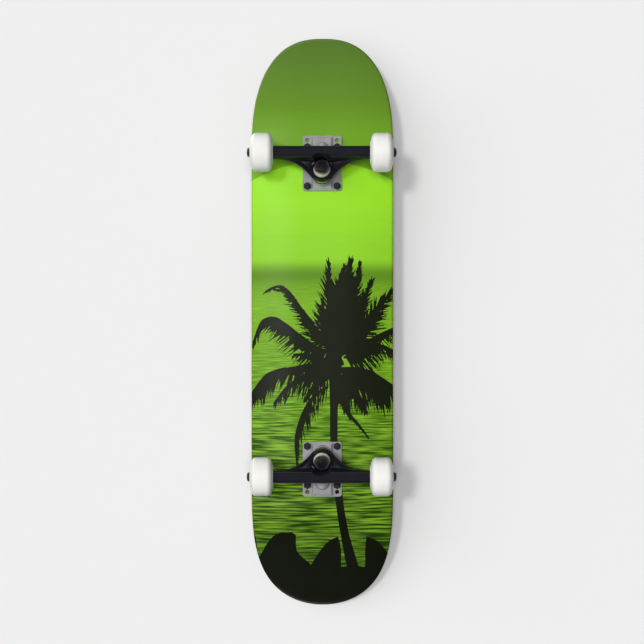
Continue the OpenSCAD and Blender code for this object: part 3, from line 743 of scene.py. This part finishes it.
def palm_shapes():
    """The palm: leaves, the dark middle of the crown and the trunk."""
    draw = random.Random(11)
    # Each leaf: rib, longest leaflet to the left and to the right of the rib's direction, hang, body.
    fronds = [
        ([(16, -46), (11, -4), (10, 36), (10, 78)], 40, 16, 0.0, 0.3),
        ([(20, -46), (20, 0), (22, 40), (31, 72)], 36, 20, 0.0, 0.5),
        ([(22, -46), (29, 0), (35, 42), (39, 82)], 40, 36, 0.0, 0.55),
        ([(24, -46), (38, 0), (46, 38), (52, 78)], 26, 28, 0.0, 0.4),
        ([(27, -46), (44, -6), (57, 26), (68, 54)], 28, 30, 0.0, 0.35),
        ([(28, -46), (53, -14), (75, 16), (99, 44)], 34, 46, 0.1, 0.35),
        ([(28, -48), (47, -28), (62, -8), (76, 10)], 20, 34, 0.1, 0.4),
        ([(12, -46), (5, -22), (2, 2), (2, 24)], 38, 10, 0.0, 0.3),
        ([(3, -27), (-14, -3), (-31, 19), (-43, 37), (-56, 48), (-68, 47), (-78, 42)], 26, 4, 0.1, 0.55),
        ([(-31, 19), (-42, 33), (-52, 42), (-66, 44)], 13, 3, 0.3, 0.8),
        ([(10, -38), (-2, -24), (-12, -10), (-22, 4)], 36, 4, 0.1, 0.2),
        ([(8, -44), (-9, -36), (-25, -24), (-40, -13), (-53, -3), (-64, 4), (-77, 4), (-87, -4), (-97, -30)],
         44, 4, 0.9, 0.45),
        ([(-40, -13), (-52, -4), (-64, 2), (-77, 2), (-89, -8)], 30, 3, 1.1, 0.6),
        ([(14, -58), (-6, -50), (-22, -46), (-38, -46)], 34, 10, 0.7, 0.45),
        ([(10, -62), (-16, -61), (-40, -65), (-64, -69), (-78, -75), (-89, -87), (-101, -108)],
         46, 5, 1.5, 0.4),
        ([(-50, -66), (-64, -69), (-78, -75), (-89, -87), (-101, -104)], 40, 3, 1.6, 0.6),
        ([(-62, -69), (-78, -76), (-91, -90), (-101, -112)], 46, 3, 2.2, 0.5),
        ([(10, -66), (-10, -70), (-30, -78), (-50, -92), (-66, -112)], 44, 16, 1.0, 0.42),
        ([(12, -70), (-2, -82), (-14, -94), (-24, -108)], 30, 18, 0.7, 0.45),
        ([(8, -92), (-8, -101), (-20, -115), (-29, -132), (-35, -150), (-38, -168), (-36, -196)],
         42, 3, 0.6, 0.1),
        ([(30, -52), (52, -37), (73, -22), (102, -8)], 4, 50, 1.2, 0.4),
        ([(34, -50), (60, -38), (84, -34), (102, -44)], 5, 44, 1.1, 0.4),
        ([(24, -66), (50, -66), (68, -71), (84, -80), (102, -92)], 4, 66, 1.8, 0.5),
        ([(24, -68), (44, -76), (66, -88), (88, -108)], 14, 58, 1.6, 0.5),
        ([(60, -74), (76, -80), (90, -88), (104, -100)], 4, 60, 2.4, 0.6),
        ([(22, -72), (34, -86), (48, -102), (60, -122)], 34, 40, 0.9, 0.5),
        ([(20, -80), (27, -96), (33, -112), (38, -130)], 22, 28, 0.5, 0.5),
        ([(22, -100), (36, -126), (50, -143), (64, -162)], 9, 12, 0.7, 0.35)]
    shapes = []
    for rib, left, right, hang, body in fronds:
        shapes += frond(draw, rib, left, right, hang, body)
    # The upright leaves overlap into one solid mass.
    mass = [(8, -44), (5, -26), (3, -6), (5, 14), (9, 32), (15, 44), (23, 56), (32, 68), (39, 70), (45, 58),
            (46, 42), (47, 30), (56, 20), (60, 6), (57, -10), (48, -30), (30, -46), (24, -58), (14, -58)]
    shapes.append(smooth_line(mass + mass[:1], 60))
    heart = [np.array([16 + math.cos(a) * 15, -66 + math.sin(a) * 20]) * (0.94 + 0.06 * math.sin(5 * a))
             for a in np.linspace(0, 2 * math.pi, 28, endpoint=False)]
    shapes.append(np.array(heart))
    shapes.append(curved_strip([(17, -58), (16, -138), (17, -190), (23, -245), (31, -296), (44, -352)],
                               [16, 11, 10, 10.2, 11.4, 17]))
    return shapes


def shore_shapes():
    """The dark shore that fills the end of the picture, with a few broad leaves standing on it."""
    across = np.linspace(-125, 125, 60)
    top = -345 - 4 * np.sin((across + 30) / 17) - 0.0015 * (across - 10) ** 2
    ground = list(zip(across, top)) + [(125, -430), (-125, -430)]
    bush = [(-104, -352), (-95, -341), (-88, -330), (-80, -315), (-71, -303), (-62, -296), (-50, -295),
            (-38, -296), (-37, -308), (-36, -321), (-28, -331), (-14, -346), (-12, -380), (-112, -380)]
    leaves = [
        smooth_line([(22, -301), (25, -314), (26, -334), (20, -358), (-24, -362), (-10, -332), (0, -317),
                     (11, -306), (22, -301)], 50),
        smooth_line([(62, -301), (60, -314), (60, -334), (64, -358), (112, -362), (99, -335), (89, -321),
                     (76, -307), (62, -301)], 50),
        smooth_line([(-98, -296), (-94, -300), (-91, -330), (-92, -356), (-104, -352), (-98, -296)], 30)]
    return [np.array(ground), smooth_line(bush, 40)] + leaves


INK_MAP = InkMap([on_board(shape) for shape in palm_shapes() + shore_shapes()])

# ---------- board ----------

bolt_centres = []
for end in ENDS:
    low, high = (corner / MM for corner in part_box(f"{end}_truck_bolts"))
    head = (high.y - low.y) / 2 - BOLTS_ACROSS / 2
    for bx in (low.x + head, high.x - head):
        for by in (low.y + head, high.y - head):
            bolt_centres.append((bx, by))


def make_board():
    """The pressed board: printed underside, rounded ply rim and top. kinds are the faces' materials:
    0 picture, 1 ink, 2 wood."""
    holes = [circle(x, y, BOLT_HOLE) for x, y in bolt_centres]
    insets = [PRINT_EDGE, 1.2, 1.8, 2.5, RIM_IN]
    flat, tris, marks = patch(insets, holes, INK_MAP)
    lift = rim_lift(inset_of(flat))
    points = [np.column_stack([flat, underside(flat[:, 0], flat[:, 1]) + lift])]
    ply = [lift / THICKNESS]
    faces = [tri[::-1] for tri in tris]
    kinds = marks

    top_flat, top_tris, _ = patch([RIM_IN], holes)
    offset = len(flat)
    points.append(np.column_stack([top_flat, underside(top_flat[:, 0], top_flat[:, 1]) + THICKNESS]))
    ply.append(np.ones(len(top_flat)))
    faces += [[i + offset for i in tri] for tri in top_tris]
    kinds += [2] * len(top_tris)

    # The rim, from the print's edge round the side to the top.
    offset += len(top_flat)
    rim_angles = [math.asin(1 - PRINT_EDGE / RIM_IN), 1.15, math.pi / 2]
    profile = [(RIM_IN * (1 - math.sin(a)), RIM_RISE * (1 - math.cos(a))) for a in rim_angles]
    profile += [(RIM_IN * (1 - math.sin(a)), THICKNESS - RIM_RISE * (1 - math.cos(a)))
                for a in (math.pi / 2, 1.25, 0.95, 0.65, 0.35, 0.0)]
    count = len(EDGE)
    for inset, rise in profile:
        ring = loop(inset)
        points.append(np.column_stack([ring, underside(ring[:, 0], ring[:, 1]) + rise]))
        ply.append(np.full(count, rise / THICKNESS))
    for k in range(len(profile) - 1):
        a, b = offset + k * count, offset + (k + 1) * count
        for j in range(count):
            n = (j + 1) % count
            faces.append([a + j, a + n, b + n, b + j])
            kinds.append(2)
    offset += count * len(profile)

    # The bolt holes' walls.
    for hole in holes:
        rings = [np.column_stack([hole, underside(hole[:, 0], hole[:, 1]) + rise]) for rise in (0, THICKNESS)]
        points += rings
        ply += [np.zeros(len(hole)), np.ones(len(hole))]
        for j in range(len(hole)):
            n = (j + 1) % len(hole)
            faces.append([offset + j, offset + len(hole) + j, offset + len(hole) + n, offset + n])
            kinds.append(2)
        offset += 2 * len(hole)

    board = new_object("board", np.concatenate(points), faces, [PICTURE, INK, MAPLE], kinds)
    heights = board.data.attributes.new("ply", "FLOAT", "POINT")
    heights.data.foreach_set("value", np.concatenate(ply).astype(np.float32))
    modifier(board, "WELD", merge_threshold=0.002 * MM)
    return board


def make_grip():
    """The grip tape: a thin gritty sheet over the whole top, cut along the rim."""
    holes = [circle(x, y, HEAD_HOLE) for x, y in bolt_centres]
    flat, tris, _ = patch([GRIP_EDGE, 1.9, 2.6, RIM_IN], holes)
    inset = inset_of(flat)
    base = underside(flat[:, 0], flat[:, 1]) + THICKNESS - rim_lift(inset)
    over = np.clip(inset / 3, 0.55, 1) * GRIP
    points = np.concatenate([np.column_stack([flat, base + height]) for height in (over, GLUE_GAP)])
    half = len(flat)
    faces = tris + [[i + half for i in tri[::-1]] for tri in tris]
    edges = {edge: None for tri in tris for edge in zip(tri, tri[1:] + tri[:1])}
    faces += [[b, a, a + half, b + half] for a, b in edges if (b, a) not in edges]
    return new_object("grip_sheet", points, faces, [GRIT])


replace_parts(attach(make_board(), "board"), "deck")
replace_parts(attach(make_grip(), "board"), "grip_tape")

# ---------- carried-over CAD nodes ----------


def finish_node(node, material, bevel=0.25, voxel=None, rounding=4):
    """Gives a CAD node its material, and soft edges: a small bevel, or for a casting a voxel surface that is
    smoothed, which makes the fillets of a cast part. bevel and voxel are in millimetres."""
    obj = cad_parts[node]
    obj.data.materials.clear()
    obj.data.materials.append(material)
    obj.data.shade_smooth()
    modifier(obj, "WELD", merge_threshold=0.01 * MM)
    if voxel:
        modifier(obj, "REMESH", mode="VOXEL", voxel_size=voxel * MM, use_smooth_shade=True)
        modifier(obj, "SMOOTH", factor=0.5, iterations=rounding)
        return
    modifier(obj, "BEVEL", width=bevel * MM, segments=2, limit_method="ANGLE", angle_limit=math.radians(32))
    modifier(obj, "WEIGHTED_NORMAL", mode="FACE_AREA", weight=60)


for end in ENDS:
    finish_node(f"{end}_truck_bolts", BLACK, 0.1)
    finish_node(f"{end}_truck_nuts", BLACK, 0.12)
    finish_node(f"{end}_baseplate", CASTING, voxel=0.6, rounding=3)
    finish_node(f"{end}_pivot_cup", CUP, 0.2)
    finish_node(f"{end}_kingpin", DARK, 0.15)
    finish_node(f"{end}_kingpin_nut", BLACK, 0.15)
    # Painted shade: the board-side washer gets the dark steel, which stands in for the shade it lies in under
    # the hanger's ring.
    finish_node(f"{end}_board_side_washer", DARK, 0.15)
    finish_node(f"{end}_road_side_washer", PLATED, 0.15)
    finish_node(f"{end}_hanger", COATED, voxel=0.7, rounding=5)
    finish_node(f"{end}_axle", AXLE, 0.1)
for end, side in CORNERS:
    corner = f"{end}_{side}"
    for part in ("outer_rings", "inner_rings", "ball_sets"):
        finish_node(f"{corner}_{part}", RACE, 0.08)
    finish_node(f"{corner}_spacer", AXLE, 0.1)
    finish_node(f"{corner}_speed_rings", PLATED, 0.08)
    finish_node(f"{corner}_shields", RUBBER, 0.08)
    finish_node(f"{corner}_axle_nut", BLACK, 0.15)

# ---------- wheels ----------

BEARING_SEAT = 11.01
CORE_HALF = 5
CORE_BORE = 8.6


def make_wheel(end, side):
    """A cast wheel: flat tread, rounded shoulders, slightly dished faces and a recessed hub."""
    node = f"{end}_{side}_wheel"
    low, high = (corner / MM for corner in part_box(node))
    middle = (low + high) / 2
    radius = (high.z - low.z) / 2
    half = (high.y - low.y) / 2
    face = [(radius, 0, 0), (radius, 9.6, 5.2), (radius - 3.4, 13.2, 2.2), (18.2, half - 1.5, 1.5),
            (17.6, half - 1.75, 0.5), (16.2, half - 0.7, 1.2), (13.4, half, 0.8), (12.3, half - 0.3, 0.7),
            (11.4, half - 3.6, 0.3), (BEARING_SEAT, half - 4.0, 0.1), (BEARING_SEAT, CORE_HALF, 0.2),
            (CORE_BORE, CORE_HALF, 0.4), (CORE_BORE, 0, 0)]
    upper = fillet(face, 6)
    lower = [np.array([r, -h]) for r, h in upper[1:-1][::-1]]
    profile = upper + lower
    material = white_urethane(f"wheel_urethane_{end}_{side}", middle * MM)
    wheel = lathe(f"{end}_{side}_tyre", profile, middle, (0, 1, 0), [material], 128, 40)
    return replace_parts(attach(wheel, f"{end}_{side}_wheel_body"), node)


for end, side in CORNERS:
    make_wheel(end, side)

# ---------- bushings ----------

TILT = math.radians(14)
KINGPIN_IN = 17.5
KINGPIN_BORE = 5
TALL = 14.3
SHORT = 11.3
BEND_STEP = 1.2
PATTERN_X = {end: sum(corner.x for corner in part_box(f"{end}_truck_bolts")) / 2 / MM for end in ENDS}
OUTBOARD = {"front": 1, "rear": -1}


def along_kingpin(end, s):
    """A point on the kingpin's axis, at distance s down from the board's underside."""
    x = PATTERN_X[end] + OUTBOARD[end] * (s * math.sin(TILT) - KINGPIN_IN)
    return Vector((x, 0, DECK_Z - s * math.cos(TILT)))


def finer(profile):
    """The same closed profile with its long sides divided."""
    made = []
    for a, b in zip(profile, profile[1:] + profile[:1]):
        parts = max(1, int(np.linalg.norm(b - a) / BEND_STEP))
        made += [a + (b - a) * k / parts for k in range(parts)]
    return made


def make_bushing(end, name, from_s, to_s, corners):
    """A urethane bushing between s = from_s and to_s."""
    profile = finer(fillet(corners, 4))
    start = along_kingpin(end, from_s)
    axis = along_kingpin(end, to_s) - start
    piece = lathe(f"{end}_{name}_urethane", profile, start, axis, [CREAM], 72, 60)
    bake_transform(piece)
    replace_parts(piece, f"{end}_{name}_bushing")
    return piece


for end in ENDS:
    make_bushing(end, "board_side", 15.2, 29.5, [
        (KINGPIN_BORE, 0, 0.3), (11.1, 0, 0.8), (12.0, 2.4, 1.5), (12.8, 6.2, 4), (12.1, 10.8, 2),
        (11.4, TALL, 0.8), (KINGPIN_BORE, TALL, 0.3)])
    make_bushing(end, "road_side", 37.5, 48.8, [
        (KINGPIN_BORE, 0, 0.3), (11.5, 0, 0.8), (11.6, 3.0, 2.5), (9.7, SHORT - 2.2, 1.6),
        (9.2, SHORT, 0.5), (KINGPIN_BORE, SHORT, 0.3)])

# ---------- stage, lights and camera ----------

STAGE_HALF = 9000
FLOOR_Z = -0.3
BACKDROP_GAP = 18


def one_sided(name, tone):
    """A stage surface that is seen only from its front."""
    g = Graph(name, Roughness=0.9, Specular_IOR_Level=0.1)
    g.colour(tone)
    tree = g.tree
    side = tree.nodes.new("ShaderNodeNewGeometry")
    clear = tree.nodes.new("ShaderNodeBsdfTransparent")
    either = tree.nodes.new("ShaderNodeMixShader")
    tree.links.new(side.outputs["Backfacing"], either.inputs[0])
    tree.links.new(g.shader.outputs[0], either.inputs[1])
    tree.links.new(clear.outputs[0], either.inputs[2])
    tree.links.new(either.outputs[0], tree.nodes["Material Output"].inputs["Surface"])
    return g.material


def stage_sheet(name, z, order, tone):
    """A wide level sheet at height z. The order of its corners sets which side is its front."""
    half = STAGE_HALF
    corners = [(-half, -half, z), (half, -half, z), (half, half, z), (-half, half, z)]
    obj = new_object(name, corners, [order], [one_sided(name, tone)], smooth=False)
    obj.visible_shadow = False
    obj.visible_diffuse = False
    obj.visible_glossy = False
    obj.visible_transmission = False


stage_sheet("floor", FLOOR_Z, [0, 1, 2, 3], srgb(236, 236, 236))
stage_sheet("backdrop", deck_high.z + BACKDROP_GAP, [3, 2, 1, 0], srgb(240, 240, 240))


def area_light(name, place, target, size, power):
    lamp = bpy.data.lights.new(name, "AREA")
    lamp.shape = "DISK"
    lamp.size = size
    lamp.energy = power
    obj = bpy.data.objects.new(name, lamp)
    obj.location = place
    obj.rotation_euler = (Vector(target) - Vector(place)).to_track_quat("-Z", "Y").to_euler()
    bpy.context.scene.collection.objects.link(obj)
    return obj


def sun(name, place, strength, spread, glossy=True, diffuse=True):
    """A distant light that shines from the direction of place towards the board, spread degrees wide.
    glossy and diffuse say which kind of reflection it takes part in."""
    lamp = bpy.data.lights.new(name, "SUN")
    lamp.energy = strength
    lamp.angle = math.radians(spread)
    obj = bpy.data.objects.new(name, lamp)
    obj.location = place
    obj.rotation_euler = (-Vector(place)).to_track_quat("-Z", "Y").to_euler()
    obj.visible_glossy = glossy
    obj.visible_diffuse = diffuse
    bpy.context.scene.collection.objects.link(obj)


# Below, for the view of the underside: light from the front, and from the left a key, its sheen and a broad
# glow.
sun("front_below", (0.05, 0, -2), 1.32, 14, glossy=False)
sun("key_below", (-0.2, 0.5, -1.9), 0.64, 7, glossy=False)
sun("sheen_below", (-0.2, 0.5, -1.9), 0.24, 9)
sun("glow_below", (-0.3, 1.9, -1.6), 1.05, 70, glossy=False)
# Low lights from the tail and from the nose, which draw bright lines along the castings' edges.
sun("tail_edge_below", (-2, 0.4, -0.3), 0.8, 25, diffuse=False)
sun("nose_edge_below", (2, 0.4, -0.3), 0.8, 25, diffuse=False)
# Above, for the board standing on its wheels.
area_light("key_above", (0.9, -1.2, 1.9), (0, 0, 0.05), 1.0, 26).visible_glossy = False
area_light("fill_above", (-1.4, 1.3, 1.3), (0, 0, 0.05), 1.4, 14)
sun("glow_above", (-0.3, 0.4, 2), 1.0, 80)

world = bpy.data.worlds.new("studio")
world.use_nodes = True
world.node_tree.nodes["Background"].inputs[0].default_value = (1, 1, 1, 1)
world.node_tree.nodes["Background"].inputs[1].default_value = 0.09
scene = bpy.context.scene
scene.world = world
scene.view_settings.view_transform = "Standard"

VIEW_DISTANCE = 2.35
FRAME_WIDTH = 0.895
AIM_X = 0.0019
AIM_Y = 0.0004
# The picture shows the board a little from its nose and its right side: the camera stands off by this much
# in the picture's own right and down, and the lens is shifted back.
OFF_RIGHT = 0.035
OFF_DOWN = 0.093
camera_data = bpy.data.cameras.new("camera")
camera_data.lens = camera_data.sensor_width * VIEW_DISTANCE / FRAME_WIDTH
camera_data.shift_x = -OFF_RIGHT / FRAME_WIDTH
camera_data.shift_y = OFF_DOWN / FRAME_WIDTH
camera_data.clip_end = 50
camera = bpy.data.objects.new("camera", camera_data)
# The camera looks straight up at the underside; the tail is at the top of the picture.
across, up, back = Vector((0, -1, 0)), Vector((-1, 0, 0)), Vector((0, 0, -1))
turn = Matrix((across, up, back)).transposed().to_4x4()
place = Vector((AIM_X, AIM_Y, DECK_Z * MM - VIEW_DISTANCE)) + across * OFF_RIGHT - up * OFF_DOWN
camera.matrix_world = Matrix.Translation(place) @ turn
scene.collection.objects.link(camera)
scene.camera = camera
